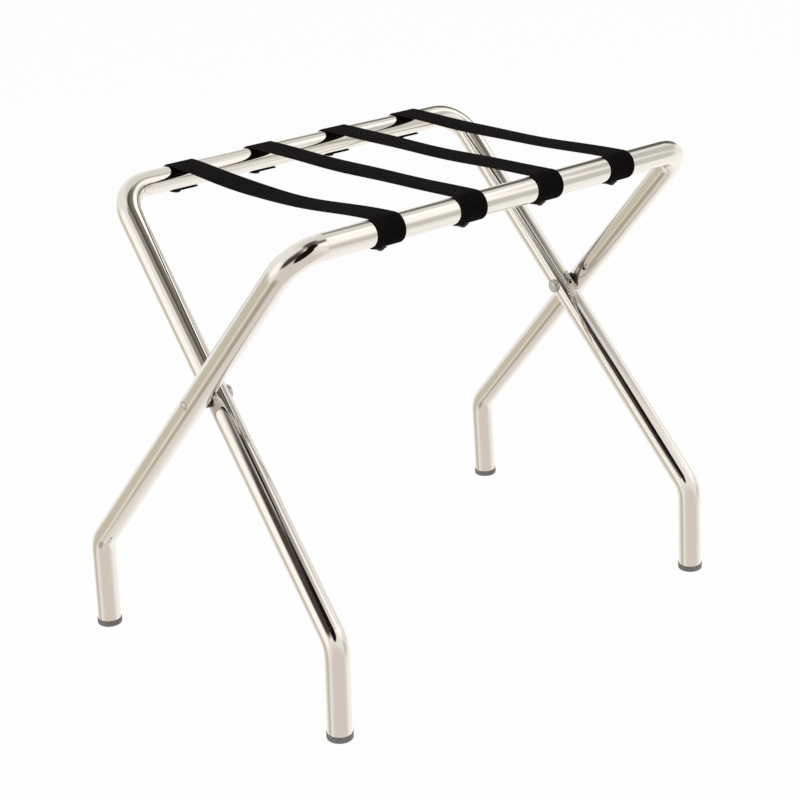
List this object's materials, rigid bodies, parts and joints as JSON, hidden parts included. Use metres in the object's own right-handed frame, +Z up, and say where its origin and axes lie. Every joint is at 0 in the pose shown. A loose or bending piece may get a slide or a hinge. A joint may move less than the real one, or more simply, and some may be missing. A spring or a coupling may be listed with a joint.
{
  "type": "folding luggage rack",
  "caption": "Folding luggage rack: two crossed U frames of bent chrome tube on pivots, with webbing straps across the rails and a plug foot in each tube end.",
  "frame": {"origin": "centre of the footprint, on the floor under the feet", "axes": "+X along the rails, +Y from the outer frame's rail towards the inner frame's rail, +Z up"},
  "size_m": [0.5922, 0.3904, 0.4926],
  "materials": {
    "tube": "bright chrome plate on steel tube",
    "rivet": "plated steel rivet",
    "washer": "plated steel washer",
    "spacer": "dark nylon",
    "strap": "black woven webbing",
    "screw": "blackened steel",
    "foot": "dark grey, slightly worn"
  },
  "bodies": {
    "outer": {"outer_frame": "tube", "foot_far_left": "foot", "foot_far_right": "foot", "pivot_rivet_left": "rivet", "pivot_rivet_right": "rivet", "pivot_spacer_left": "spacer", "pivot_spacer_right": "spacer", "strap_1": "strap", "strap_2": "strap", "strap_3": "strap", "strap_4": "strap", "strap_screws_near": "screw", "strap_washers_near": "screw"},
    "inner": {"inner_frame": "tube", "foot_near_left": "foot", "foot_near_right": "foot", "pivot_washer_left": "washer", "pivot_washer_right": "washer", "strap_screws_far": "screw", "strap_washers_far": "screw"}
  },
  "joints": [
    {"name": "fold", "type": "hinge", "parent": "outer", "child": "inner", "pos_m": [0, 0, 0.30069], "axis": [1, 0, 0], "range_deg": [0, 76], "deforming": ["strap_1", "strap_2", "strap_3", "strap_4"]}
  ]
}
